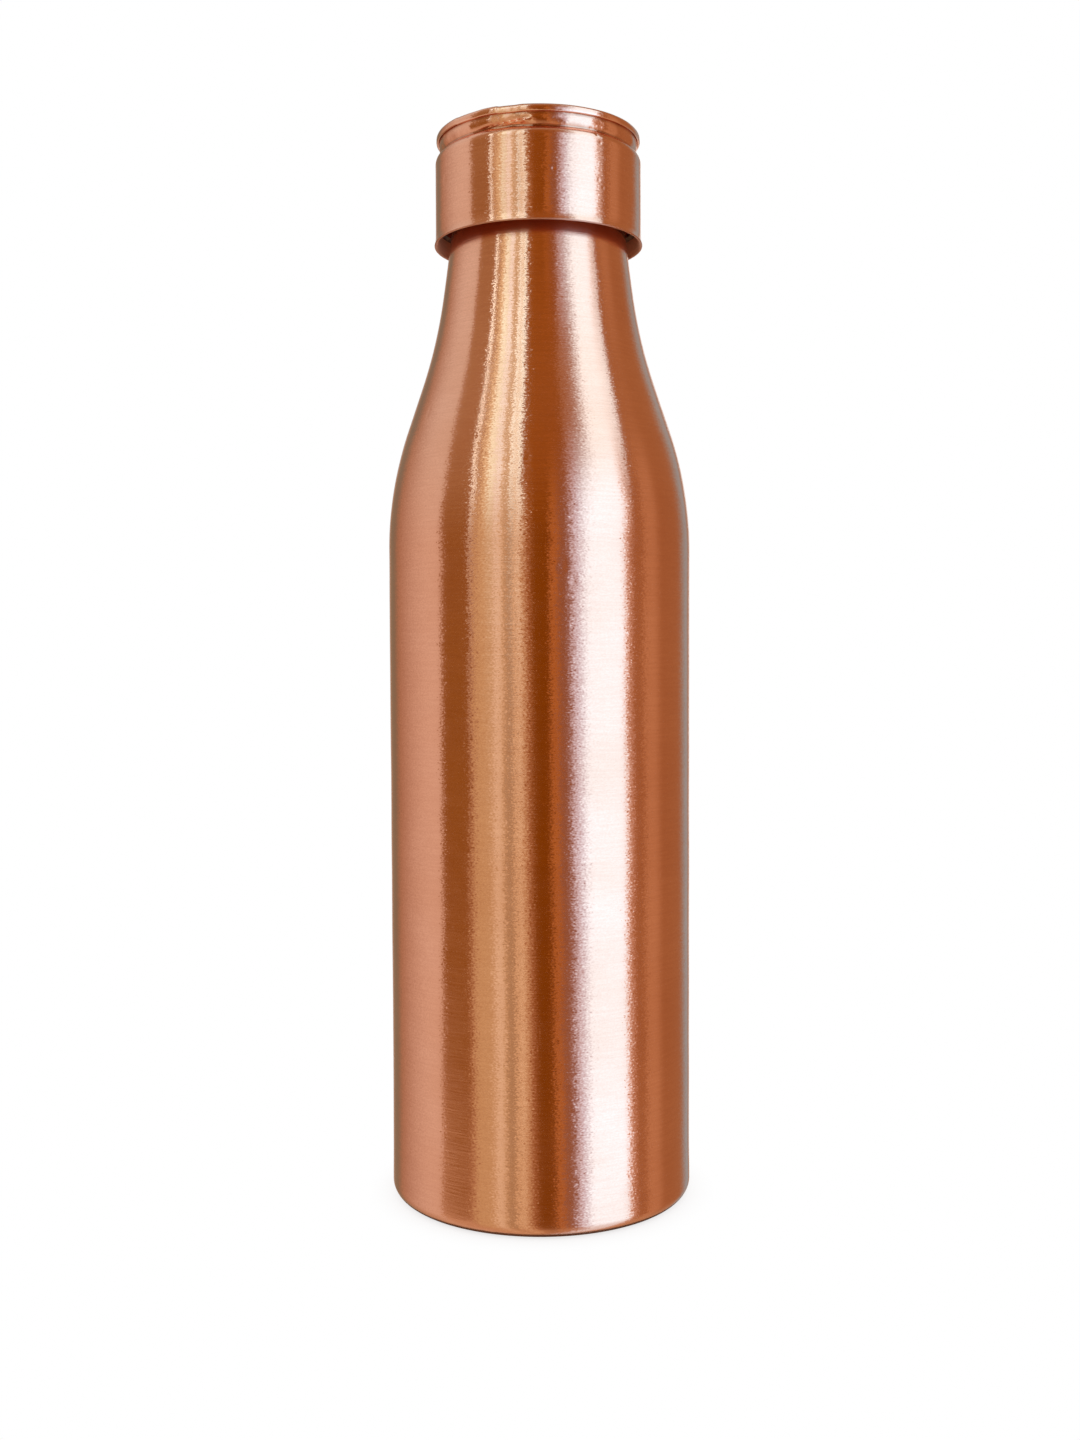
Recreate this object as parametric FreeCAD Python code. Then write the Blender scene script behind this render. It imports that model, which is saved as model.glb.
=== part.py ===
import FreeCAD, Part

import math
import os

# A copper water bottle with a screw cap, as the separate pieces it is spun, pressed and brazed from.
#
# Units are millimetres. The origin is the centre of the base, on the standing plane, and +Z runs up
# the bottle's axis. The cap is screwed shut. The threads are right-handed, so turning the cap about
# +Z loosens it.

# ---------------------------------------------------------------- driving dimensions

BODY_R = 38.0             # outside of the barrel
BODY_WALL = 0.6           # spun copper sheet
FOOT_BEND_R = 3.3         # rolled corner where the barrel meets the ground
FOOT_FLANGE_R = 31.0      # inner edge of the flange turned in under the base

SHOULDER_Z = 162.8        # where the straight barrel ends
SHOULDER_BEND_R = 91.0    # outward curve of the shoulder
SHOULDER_LEAN = 18.7      # steepest lean of the shoulder, in degrees from upright
SHOULDER_STRAIGHT = 12.0  # straight stretch at that lean
NECK_BEND_R = 127.0       # hollow curve from the shoulder into the neck
NECK_LEAN = 8.0           # lean of the tapering neck, in degrees from upright
TUBE_BEND_R = 15.0        # last bend, from the tapering neck into the upright tube
TUBE_R = 21.7             # outside of the upright tube at the mouth
LIP_BEND_R = 0.3          # inside of the bend that turns the tube out into the drinking lip
LIP_TOP_Z = 256.9         # sealing face of the lip

PLATE_T = 0.7             # base plate
PLATE_R = 34.6            # edge of the plate, just inside the foot's bend
PLATE_PANEL_R = 27.0      # flat raised panel in the middle of the plate
PLATE_STEP = 2.4          # how far the panel stands above the plate's rim
PLATE_STEP_SLOPE = 55.0   # slope of the step, in degrees from level

COLLAR_BOTTOM_Z = 244.4   # threaded collar round the tube, which ends under the lip

LEAD = 5.0                # rise of the thread in one turn
THREAD_TURNS = 1.5
RIDGE_HEIGHT = 1.0        # how far a thread ridge stands out of its wall
RIDGE_HALF_WIDTH = 1.35   # half the ridge's width where it meets its wall
CREST_CLEARANCE = 0.3     # between the crest of a ridge and the wall it faces
FLANK_CLEARANCE = 0.2     # between the two ridges when the cap is shut
MALE_START_Z = 246.7      # lower end of the collar's ridge

SKIRT_R = 25.75           # outside of the cap
SKIRT_WALL = 0.6
SKIRT_BOTTOM_Z = 238.6
SKIRT_SHOULDER_Z = 258.5  # where the cap's side starts to round over
SKIRT_SHOULDER_R = 2.4
SKIRT_SHOULDER_TURN = 66.0  # how far it rounds over before the crease, in degrees
CREASE_R = 0.4            # radius in the bottom of the crease
FLARE_LEAN = 38.0         # outward lean of the wall as it leaves the crease, in degrees from upright
BRIM_R = 24.75            # outside of the upright brim, which one bend joins to the crease
BRIM_TOP_Z = 265.1

DISC_T = 0.7              # cap's top disc
DISC_PANEL_R = 20.0       # flat dished panel in the middle of the disc
DISC_STEP = 1.2           # how far the panel lies below the disc's rim
DISC_STEP_SLOPE = 45.0    # slope of the step, in degrees from level
HEM_BOTTOM_Z = 263.95     # lower edge of the hem folded down round the brim

SEAL_T = 2.0              # silicone washer, pinched between the lip and the cup when the cap is shut
SEAL_INNER_R = 19.0
SEAL_OUTER_R = 23.5
SEAL_CHAMFER = 0.25

CUP_WALL = 0.8            # threaded cup inside the cap
CUP_PLAY = 0.1            # between cup and skirt, for the braze to run into
CUP_BOTTOM_Z = 243.6
CUP_BEND_R = 1.6

BRAZE_LEG = 0.9           # size of a braze fillet
BRAZE_HOLLOW = 0.4        # how far its hollow face stands off the corner, as a share of the leg

# ---------------------------------------------------------------- dimensions that follow from them

SKIRT_INNER_R = SKIRT_R - SKIRT_WALL
CUP_R = SKIRT_INNER_R - CUP_PLAY
CUP_INNER_R = CUP_R - CUP_WALL
CUP_TOP_Z = LIP_TOP_Z + SEAL_T + CUP_WALL
COLLAR_R = CUP_INNER_R - CREST_CLEARANCE - RIDGE_HEIGHT
LIP_UNDERSIDE_Z = LIP_TOP_Z - BODY_WALL
LIP_BEND_CENTRE = (TUBE_R + LIP_BEND_R, LIP_UNDERSIDE_Z - LIP_BEND_R)
FOOT_BEND_CENTRE = (BODY_R - FOOT_BEND_R, FOOT_BEND_R)

# A ridge's section is the part of this circle that stands out of its wall.
RIDGE_R = (RIDGE_HALF_WIDTH ** 2 + RIDGE_HEIGHT ** 2) / (2 * RIDGE_HEIGHT)
MALE_CENTRE_R = COLLAR_R + RIDGE_HEIGHT - RIDGE_R
FEMALE_CENTRE_R = CUP_INNER_R - RIDGE_HEIGHT + RIDGE_R

# ---------------------------------------------------------------- outlines

AXIS = FreeCAD.Vector(0, 0, 1)
ORIGIN = FreeCAD.Vector(0, 0, 0)


def at(r, z):
    """The point of the outline plane at radius r and height z."""
    return FreeCAD.Vector(r, 0, z)


def along(point, degrees, distance):
    """The (r, z) point that far from another, in a direction given in degrees from +r towards +z."""
    turn = math.radians(degrees)
    return point[0] + distance * math.cos(turn), point[1] + distance * math.sin(turn)


def heading(start, end):
    """The direction from one (r, z) point to another, in degrees from +r towards +z."""
    return math.degrees(math.atan2(end[1] - start[1], end[0] - start[0]))


class Outline:
    """A closed outline of lines and arcs beside the axis, to be turned into a solid."""

    def __init__(self, r, z):
        self.first = (r, z)
        self.last = self.first
        self.edges = []

    def line(self, r, z):
        if math.dist(self.last, (r, z)) > 1e-6:
            self.edges.append(Part.LineSegment(at(*self.last), at(r, z)).toShape())
            self.last = (r, z)

    def arc(self, middle, end):
        self.edges.append(Part.Arc(at(*self.last), at(*middle), at(*end)).toShape())
        self.last = end

    def bend(self, centre, radius, start, end):
        """A line to the start of an arc about centre, and then the arc."""
        self.line(*along(centre, start, radius))
        self.arc(along(centre, (start + end) / 2, radius), along(centre, end, radius))

    def turned(self):
        self.line(*self.first)
        return Part.Face(Part.Wire(self.edges)).revolve(ORIGIN, AXIS, 360)


def turned_sheet(start, bends, end, wall, round_start=False, round_end=False):
    """Sheet of even thickness, turned about the axis.

    Its right-hand face runs from start through the bends to end. Each bend is (centre, radius,
    first angle, last angle). The left-hand face is a wall's thickness away, so its radius is
    smaller in a bend to the left and larger in a bend to the right.
    """
    outline = Outline(*start)
    for bend in bends:
        outline.bend(*bend)
    into_end = heading(outline.last, end)
    outline.line(*end)

    far_end = along(end, into_end + 90, wall)
    if round_end:
        middle = along(end, into_end + 90, wall / 2)
        outline.arc(along(middle, into_end, wall / 2), far_end)
    else:
        outline.line(*far_end)
    for centre, radius, first, last in reversed(bends):
        outline.bend(centre, radius - math.copysign(wall, last - first), last, first)

    out_of_start = heading(start, along(bends[0][0], bends[0][2], bends[0][1]))
    outline.line(*along(start, out_of_start + 90, wall))
    if round_start:
        middle = along(start, out_of_start + 90, wall / 2)
        outline.arc(along(middle, out_of_start, -wall / 2), start)
    return outline.turned()


def step_bends(r, z, step, slope, wall):
    """The two bends that carry the underside of a level sheet from (r, z) up or down by a step."""
    way = math.copysign(1, step)
    steep = math.radians(slope)
    # on the underside, a bend upwards is the outside of the sheet and a bend downwards the inside
    first_r, last_r = (2 * wall, wall) if step > 0 else (wall, 2 * wall)
    straight = (abs(step) - (first_r + last_r) * (1 - math.cos(steep))) / math.sin(steep)
    first_centre = (r, z + way * first_r)
    first_end = along(first_centre, way * (slope - 90), first_r)
    last_start = along(first_end, way * slope, straight)
    last_centre = along(last_start, way * (slope - 90), last_r)
    return [
        (first_centre, first_r, -way * 90, way * (slope - 90)),
        (last_centre, last_r, way * (slope + 90), way * 90),
    ]


def braze_fillet(r, z, leg_r, leg_z):
    """A ring of braze in a square corner at (r, z), with one leg along r and the other along z."""
    outline = Outline(r, z)
    outline.line(r + leg_r, z)
    outline.arc((r + BRAZE_HOLLOW * leg_r, z + BRAZE_HOLLOW * leg_z), (r, z + leg_z))
    return outline.turned()


# ---------------------------------------------------------------- bottle

def body_shell():
    """Foot, barrel, shoulder, neck, tube and drinking lip, spun from one sheet."""
    shoulder = (BODY_R - SHOULDER_BEND_R, SHOULDER_Z)
    shoulder_end = along(shoulder, SHOULDER_LEAN, SHOULDER_BEND_R)
    neck_start = along(shoulder_end, SHOULDER_LEAN + 90, SHOULDER_STRAIGHT)
    neck = along(neck_start, SHOULDER_LEAN, NECK_BEND_R)
    neck_end_r, neck_end_z = along(neck, 180 + NECK_LEAN, NECK_BEND_R)
    # the neck tapers until the last bend can bring it upright at the tube's radius
    lean = math.radians(NECK_LEAN)
    tube_bend_r = TUBE_R + TUBE_BEND_R * (1 - math.cos(lean))
    tube_bend_z = neck_end_z + (neck_end_r - tube_bend_r) / math.tan(lean)
    tube = along((tube_bend_r, tube_bend_z), NECK_LEAN, TUBE_BEND_R)
    bends = [
        (FOOT_BEND_CENTRE, FOOT_BEND_R, -90, 0),
        (shoulder, SHOULDER_BEND_R, 0, SHOULDER_LEAN),
        (neck, NECK_BEND_R, 180 + SHOULDER_LEAN, 180 + NECK_LEAN),
        (tube, TUBE_BEND_R, 180 + NECK_LEAN, 180),
        (LIP_BEND_CENTRE, LIP_BEND_R, 180, 90),
    ]
    lip_end = (COLLAR_R - BODY_WALL / 2, LIP_UNDERSIDE_Z)
    return turned_sheet((FOOT_FLANGE_R, 0), bends, lip_end, BODY_WALL, round_end=True)


def base_plate():
    """Pressed plate that closes the bottom. Its rim lies on the foot's flange."""
    panel_z = BODY_WALL + PLATE_STEP
    bends = step_bends(PLATE_PANEL_R, panel_z, -PLATE_STEP, PLATE_STEP_SLOPE, PLATE_T)
    return turned_sheet((0, panel_z), bends, (PLATE_R, BODY_WALL), PLATE_T)


def base_braze_ring():
    """Braze in the corner between the plate's edge and the foot's bend, inside the bottle."""
    inner_bend = FOOT_BEND_R - BODY_WALL
    plate_top = BODY_WALL + PLATE_T
    top_angle = -30
    outline = Outline(PLATE_R, BODY_WALL)
    outline.bend(FOOT_BEND_CENTRE, inner_bend, -90, top_angle)
    outline.line(PLATE_R - BRAZE_LEG, plate_top)
    outline.line(PLATE_R, plate_top)
    return outline.turned()


def neck_braze_ring():
    """Braze under the collar, where it meets the tube."""
    return braze_fillet(TUBE_R, COLLAR_BOTTOM_Z, BRAZE_LEG, -BRAZE_LEG)


# ---------------------------------------------------------------- threads

def thread_ridge(centre_r, start_z, start_angle, facing):
    """A half-round ridge along a helix, rounded off at both ends. facing is 1 outwards, -1 inwards."""
    rise = LEAD * THREAD_TURNS
    below, above = at(centre_r, -RIDGE_R), at(centre_r, RIDGE_R)
    crest = at(centre_r + facing * RIDGE_R, 0)
    arc = Part.Arc(below, crest, above).toShape()
    section = Part.Wire([arc, Part.LineSegment(above, below).toShape()])
    helix = Part.Wire(Part.makeHelix(LEAD, rise, centre_r))
    ridge = helix.makePipeShell([section], True, True)

    lower_end = ridge_end(centre_r, facing, 180)
    upper_end = ridge_end(centre_r, facing, -180)
    upper_end.rotate(ORIGIN, AXIS, 360 * THREAD_TURNS)
    upper_end.translate(AXIS * rise)
    ridge = ridge.fuse([lower_end, upper_end])
    ridge.rotate(ORIGIN, AXIS, start_angle)
    ridge.translate(AXIS * start_z)
    return ridge


def ridge_end(centre_r, facing, turn):
    """The quarter ball that rounds off a ridge: half its section, swung about the radius by turn."""
    middle, above = at(centre_r, 0), at(centre_r, RIDGE_R)
    crest = at(centre_r + facing * RIDGE_R, 0)
    through = at(centre_r + facing * RIDGE_R * math.sqrt(0.5), RIDGE_R * math.sqrt(0.5))
    edges = [
        Part.LineSegment(middle, above).toShape(),
        Part.Arc(above, through, crest).toShape(),
        Part.LineSegment(crest, middle).toShape(),
    ]
    return Part.Face(Part.Wire(edges)).revolve(middle, FreeCAD.Vector(1, 0, 0), turn)


def neck_collar():
    """Threaded collar brazed round the tube, under the lip."""
    outline = Outline(TUBE_R, COLLAR_BOTTOM_Z)
    outline.line(COLLAR_R, COLLAR_BOTTOM_Z)
    outline.line(COLLAR_R, LIP_UNDERSIDE_Z)
    outline.bend(LIP_BEND_CENTRE, LIP_BEND_R, 90, 180)
    return outline.turned().fuse(thread_ridge(MALE_CENTRE_R, MALE_START_Z, 0, 1))


# ---------------------------------------------------------------- cap

def cap_thread_cup():
    """Threaded cup inside the cap. Its ceiling presses on the washer."""
    bend_centre = (CUP_R - CUP_BEND_R, CUP_TOP_Z - CUP_BEND_R)
    bends = [(bend_centre, CUP_BEND_R, 0, 90)]
    cup = turned_sheet((CUP_R, CUP_BOTTOM_Z), bends, (0, CUP_TOP_Z), CUP_WALL)

    # this ridge hangs below the collar's, with the flank clearance between their two round sections
    spacing = 2 * RIDGE_R + FLANK_CLEARANCE
    drop = math.sqrt(spacing ** 2 - (FEMALE_CENTRE_R - MALE_CENTRE_R) ** 2)
    start_z = CUP_BOTTOM_Z + 1.1 * RIDGE_R
    start_angle = 360 * (start_z + drop - MALE_START_Z) / LEAD
    return cup.fuse(thread_ridge(FEMALE_CENTRE_R, start_z, start_angle, -1))


def seal_washer():
    """Flat silicone washer with chamfered edges."""
    low, high = LIP_TOP_Z, LIP_TOP_Z + SEAL_T
    outline = Outline(SEAL_INNER_R, low + SEAL_CHAMFER)
    outline.line(SEAL_INNER_R + SEAL_CHAMFER, low)
    outline.line(SEAL_OUTER_R - SEAL_CHAMFER, low)
    outline.line(SEAL_OUTER_R, low + SEAL_CHAMFER)
    outline.line(SEAL_OUTER_R, high - SEAL_CHAMFER)
    outline.line(SEAL_OUTER_R - SEAL_CHAMFER, high)
    outline.line(SEAL_INNER_R + SEAL_CHAMFER, high)
    outline.line(SEAL_INNER_R, high - SEAL_CHAMFER)
    return outline.turned()


def cap_skirt():
    """Side of the cap, with its rounded shoulder, crease, flare and upright brim."""
    shoulder = (SKIRT_R - SKIRT_SHOULDER_R, SKIRT_SHOULDER_Z)
    crease = along(shoulder, SKIRT_SHOULDER_TURN, SKIRT_SHOULDER_R + CREASE_R)
    flare_start = along(crease, 180 - FLARE_LEAN, CREASE_R)
    flare_r = (BRIM_R - flare_start[0]) / (1 - math.cos(math.radians(FLARE_LEAN)))
    flare = along(flare_start, 180 - FLARE_LEAN, flare_r)
    bends = [
        (shoulder, SKIRT_SHOULDER_R, 0, SKIRT_SHOULDER_TURN),
        (crease, CREASE_R, 180 + SKIRT_SHOULDER_TURN, 180 - FLARE_LEAN),
        (flare, flare_r, -FLARE_LEAN, 0),
    ]
    start = (SKIRT_R, SKIRT_BOTTOM_Z + SKIRT_WALL / 2)
    end = (BRIM_R, BRIM_TOP_Z - SKIRT_WALL / 2)
    return turned_sheet(start, bends, end, SKIRT_WALL, round_start=True, round_end=True)


def cap_top_disc():
    """Dished disc that closes the cap. Its edge is folded down round the brim as a rounded bead."""
    panel_z = BRIM_TOP_Z - DISC_STEP
    hem_bend_r = SKIRT_WALL / 2
    hem_bend = (BRIM_R - hem_bend_r, BRIM_TOP_Z - hem_bend_r)
    bends = step_bends(DISC_PANEL_R, panel_z, DISC_STEP, DISC_STEP_SLOPE, DISC_T)
    bends.append((hem_bend, hem_bend_r, 90, 0))
    end = (BRIM_R, HEM_BOTTOM_Z + DISC_T / 2)
    return turned_sheet((0, panel_z), bends, end, DISC_T, round_end=True)


def cap_braze_ring():
    """Braze under the cup's lower edge, where it meets the skirt."""
    return braze_fillet(SKIRT_INNER_R, CUP_BOTTOM_Z, -BRAZE_LEG, -BRAZE_LEG)


PIECES = (
    body_shell,
    base_plate,
    base_braze_ring,
    neck_collar,
    neck_braze_ring,
    seal_washer,
    cap_thread_cup,
    cap_skirt,
    cap_top_disc,
    cap_braze_ring,
)

os.makedirs("parts", exist_ok=True)
for make_piece in PIECES:
    piece = make_piece()
    if not piece.isValid() or len(piece.Solids) != 1:
        raise RuntimeError(f"{make_piece.__name__} is not one sound solid")
    print(f"{make_piece.__name__:16} {piece.Volume:9.1f} mm3")
    piece.Solids[0].exportStep(f"parts/{make_piece.__name__}.step")
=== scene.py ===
import math

import bpy
from mathutils import Euler, Matrix, Vector, noise


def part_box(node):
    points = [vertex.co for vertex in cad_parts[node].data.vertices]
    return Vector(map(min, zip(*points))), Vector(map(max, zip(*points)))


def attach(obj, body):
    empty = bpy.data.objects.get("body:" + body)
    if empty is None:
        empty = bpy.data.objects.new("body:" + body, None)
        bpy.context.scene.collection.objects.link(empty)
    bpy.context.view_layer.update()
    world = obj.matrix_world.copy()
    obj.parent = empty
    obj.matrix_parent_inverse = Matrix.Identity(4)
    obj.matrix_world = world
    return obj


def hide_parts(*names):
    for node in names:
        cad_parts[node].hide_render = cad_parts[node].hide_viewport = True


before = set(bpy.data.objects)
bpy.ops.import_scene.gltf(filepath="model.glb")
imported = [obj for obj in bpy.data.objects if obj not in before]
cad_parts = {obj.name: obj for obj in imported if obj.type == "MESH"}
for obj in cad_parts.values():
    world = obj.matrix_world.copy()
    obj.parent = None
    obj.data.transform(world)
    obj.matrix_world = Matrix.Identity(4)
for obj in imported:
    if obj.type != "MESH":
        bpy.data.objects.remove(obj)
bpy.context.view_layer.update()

# A copper water bottle. Lengths in the outlines are millimetres, and become metres when a mesh is made.

MM = 0.001
TINY = 1e-6                    # two points this close are one


def box_mm(node):
    """Lowest and highest corner of a CAD node in millimetres."""
    low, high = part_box(node)
    return low / MM, high / MM


# ---------------------------------------------------------------- dimensions
#
# R is a radius, T and WALL are thicknesses and Z is a height. Leans, slopes and turns are in degrees.

SHELL_HIGH = box_mm("body_shell")[1]
PLATE_LOW, PLATE_HIGH = box_mm("base_plate")
SKIRT_LOW, SKIRT_HIGH = box_mm("cap_skirt")
DISC_HIGH = box_mm("cap_top_disc")[1]

BODY_R = SHELL_HIGH.x
BODY_WALL = PLATE_LOW.z
FOOT_BEND_R = 3.3
FOOT_FLANGE_R = 31.0
SHOULDER_Z = 162.8
SHOULDER_BEND_R = 91.0
SHOULDER_LEAN = 18.7
SHOULDER_STRAIGHT = 12.0
NECK_BEND_R = 127.0
NECK_LEAN = 8.0
TUBE_BEND_R = 15.0
TUBE_R = 21.7
LIP_BEND_R = 0.3
LIP_R = 22.95
LIP_TOP_Z = SHELL_HIGH.z

PLATE_T = 0.7
PLATE_R = 34.6
PLATE_PANEL_R = 27.0
PLATE_STEP = PLATE_HIGH.z - PLATE_LOW.z - PLATE_T
PLATE_STEP_SLOPE = 55.0

SKIRT_R = SKIRT_HIGH.x
SKIRT_WALL = 0.6
SKIRT_BOTTOM_Z = SKIRT_LOW.z
SKIRT_SHOULDER_Z = 258.5
SKIRT_SHOULDER_R = 2.4
SKIRT_SHOULDER_TURN = 66.0
CREASE_R = 0.4
FLARE_LEAN = 38.0
BRIM_R = 24.75
BRIM_TOP_Z = SKIRT_HIGH.z

DISC_T = DISC_HIGH.z - BRIM_TOP_Z
DISC_PANEL_R = 20.0
DISC_STEP = 1.2
DISC_STEP_SLOPE = 45.0
HEM_BOTTOM_Z = 263.95

# ---------------------------------------------------------------- outlines

BEND_STEP = 7.0                # degrees between an outline's points in a bend, at most
ROUND_STEPS = 8                # stretches in the half circle of a cut edge
BODY_GAP = 1.2                 # mm between an outline's points, at most
SKIRT_GAP = 0.3
DISC_GAP = 0.6


def along(point, degrees, distance):
    """The point at this distance from another one, in this direction."""
    turn = math.radians(degrees)
    return point[0] + distance * math.cos(turn), point[1] + distance * math.sin(turn)


def heading(start, end):
    """The direction from one point to another, in degrees."""
    return math.degrees(math.atan2(end[1] - start[1], end[0] - start[0]))


class Outline:
    """Points of an outline beside the axis, no further apart than gap."""

    def __init__(self, r, z, gap):
        self.points = [(r, z)]
        self.gap = gap

    def line(self, r, z):
        """A straight stretch from the last point to this one."""
        start = self.points[-1]
        length = math.dist(start, (r, z))
        if length > TINY:
            steps = max(1, math.ceil(length / self.gap))
            for i in range(1, steps + 1):
                t = i / steps
                self.points.append((start[0] + (r - start[0]) * t, start[1] + (z - start[1]) * t))

    def bend(self, centre, radius, first, last):
        """An arc between two directions from its centre, with a straight stretch up to it."""
        self.line(*along(centre, first, radius))
        turn = abs(last - first)
        length = math.radians(turn) * radius
        steps = max(2, math.ceil(turn / BEND_STEP), math.ceil(length / self.gap))
        for i in range(1, steps + 1):
            self.points.append(along(centre, first + (last - first) * i / steps, radius))

    def half_round(self, inwards, wall):
        """Closes a sheet's cut edge with a half circle. inwards is the direction of travel at the edge."""
        centre = along(self.points[-1], inwards + 90, wall / 2)
        for i in range(1, ROUND_STEPS + 1):
            self.points.append(along(centre, inwards - 90 + 180 * i / ROUND_STEPS, wall / 2))


def sheet_outline(start, bends, end, wall, gap, round_start=False, round_end=False):
    """Outline of sheet of even thickness: the face on the right of the way along it, and then the rest.

    A bend is (centre, radius, first direction, last direction). The rest includes both cut edges.
    """
    outline = Outline(*start, gap)
    for bend in bends:
        outline.bend(*bend)
    into_end = heading(outline.points[-1], end)
    outline.line(*end)
    face = list(outline.points)

    rest = Outline(*end, gap)
    if round_end:
        rest.half_round(into_end, wall)
    else:
        rest.line(*along(end, into_end + 90, wall))
    for centre, radius, first, last in reversed(bends):
        rest.bend(centre, radius - math.copysign(wall, last - first), last, first)
    out_of_start = heading(start, along(bends[0][0], bends[0][2], bends[0][1]))
    rest.line(*along(start, out_of_start + 90, wall))
    if round_start:
        rest.half_round(out_of_start + 180, wall)
    elif start[0] > 0:
        rest.line(*start)
    return face, rest.points


def step_bends(r, z, step, slope, wall):
    """The two bends that carry the underside of a level sheet from (r, z) up or down by a step."""
    way = math.copysign(1, step)
    steep = math.radians(slope)
    first_r, last_r = (2 * wall, wall) if step > 0 else (wall, 2 * wall)
    straight = (abs(step) - (first_r + last_r) * (1 - math.cos(steep))) / math.sin(steep)
    first_centre = (r, z + way * first_r)
    first_end = along(first_centre, way * (slope - 90), first_r)
    last_start = along(first_end, way * slope, straight)
    last_centre = along(last_start, way * (slope - 90), last_r)
    return [
        (first_centre, first_r, -way * 90, way * (slope - 90)),
        (last_centre, last_r, way * (slope + 90), way * 90),
    ]


def body_outline():
    foot = (BODY_R - FOOT_BEND_R, FOOT_BEND_R)
    shoulder = (BODY_R - SHOULDER_BEND_R, SHOULDER_Z)
    shoulder_end = along(shoulder, SHOULDER_LEAN, SHOULDER_BEND_R)
    neck_start = along(shoulder_end, SHOULDER_LEAN + 90, SHOULDER_STRAIGHT)
    neck = along(neck_start, SHOULDER_LEAN, NECK_BEND_R)
    neck_end_r, neck_end_z = along(neck, 180 + NECK_LEAN, NECK_BEND_R)
    lean = math.radians(NECK_LEAN)
    tube_bend_r = TUBE_R + TUBE_BEND_R * (1 - math.cos(lean))
    tube_bend_z = neck_end_z + (neck_end_r - tube_bend_r) / math.tan(lean)
    tube = along((tube_bend_r, tube_bend_z), NECK_LEAN, TUBE_BEND_R)
    lip_z = LIP_TOP_Z - BODY_WALL
    bends = [
        (foot, FOOT_BEND_R, -90, 0),
        (shoulder, SHOULDER_BEND_R, 0, SHOULDER_LEAN),
        (neck, NECK_BEND_R, 180 + SHOULDER_LEAN, 180 + NECK_LEAN),
        (tube, TUBE_BEND_R, 180 + NECK_LEAN, 180),
        ((TUBE_R + LIP_BEND_R, lip_z - LIP_BEND_R), LIP_BEND_R, 180, 90),
    ]
    end = (LIP_R - BODY_WALL / 2, lip_z)
    return sheet_outline((FOOT_FLANGE_R, 0), bends, end, BODY_WALL, BODY_GAP, round_end=True)


def plate_outline():
    panel_z = PLATE_LOW.z + PLATE_STEP
    bends = step_bends(PLATE_PANEL_R, panel_z, -PLATE_STEP, PLATE_STEP_SLOPE, PLATE_T)
    return sheet_outline((0, panel_z), bends, (PLATE_R, PLATE_LOW.z), PLATE_T, BODY_GAP)


def skirt_outline():
    shoulder = (SKIRT_R - SKIRT_SHOULDER_R, SKIRT_SHOULDER_Z)
    crease = along(shoulder, SKIRT_SHOULDER_TURN, SKIRT_SHOULDER_R + CREASE_R)
    flare_start = along(crease, 180 - FLARE_LEAN, CREASE_R)
    flare_r = (BRIM_R - flare_start[0]) / (1 - math.cos(math.radians(FLARE_LEAN)))
    flare = along(flare_start, 180 - FLARE_LEAN, flare_r)
    bends = [
        (shoulder, SKIRT_SHOULDER_R, 0, SKIRT_SHOULDER_TURN),
        (crease, CREASE_R, 180 + SKIRT_SHOULDER_TURN, 180 - FLARE_LEAN),
        (flare, flare_r, -FLARE_LEAN, 0),
    ]
    start = (SKIRT_R, SKIRT_BOTTOM_Z + SKIRT_WALL / 2)
    end = (BRIM_R, BRIM_TOP_Z - SKIRT_WALL / 2)
    return sheet_outline(start, bends, end, SKIRT_WALL, SKIRT_GAP, round_start=True, round_end=True)


def disc_outline():
    panel_z = BRIM_TOP_Z - DISC_STEP
    hem_bend_r = SKIRT_WALL / 2
    hem_bend = (BRIM_R - hem_bend_r, BRIM_TOP_Z - hem_bend_r)
    bends = step_bends(DISC_PANEL_R, panel_z, DISC_STEP, DISC_STEP_SLOPE, DISC_T)
    bends.append((hem_bend, hem_bend_r, 90, 0))
    end = (BRIM_R, HEM_BOTTOM_Z + DISC_T / 2)
    return sheet_outline((0, panel_z), bends, end, DISC_T, DISC_GAP, round_end=True)


# ---------------------------------------------------------------- unevenness of hand-worked sheet
#
# Angles round the axis are in degrees: 0 faces the camera, + is to its right.

# round dents and nicks in the bottle and in the cap: angle, height, radius, depth
BODY_DENTS = (
    (-56, 195.3, 0.7, 0.10),
    (-4, 182.0, 1.0, 0.07),
    (-1, 186.0, 0.8, 0.06),
    (8, 157.0, 1.6, 0.09),
    (12, 153.5, 1.2, 0.07),
    (10, 149.0, 0.9, 0.05),
    (27, 170.0, 6.0, 0.07),
    (-48, 92.0, 7.0, 0.10),
    (5, 41.0, 0.6, 0.05),
    (118, 120.0, 6.0, 0.15),
    (-140, 70.0, 5.0, 0.13),
    (170, 178.0, 4.0, 0.12),
)
CAP_DENTS = (
    (8, 250.5, 0.5, 0.10),
    (33, 259.6, 0.6, 0.10),
    (35, 257.8, 0.45, 0.08),
    (34, 249.0, 0.5, 0.06),
    (37, 247.5, 0.4, 0.06),
    (-42, 259.8, 0.7, 0.08),
    (-62, 252.0, 1.6, 0.05),
    (150, 251.0, 2.2, 0.10),
)
# where the rolled crease laps over itself: first and last (angle, height)
LAP_START = (-44.0, 259.9)
LAP_END = (-3.0, 262.3)
LAP_FADES = ((0, 0.5), (1, 0.85))      # over the share of the way along it
LAP_HEIGHT = 0.30
LAP_WIDTH = 0.32
LAP_HOLLOW = 1.1               # depth of the hollow above it, against its height
LAP_HOLLOW_ABOVE = 1.9         # and how far above it, in widths

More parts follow.
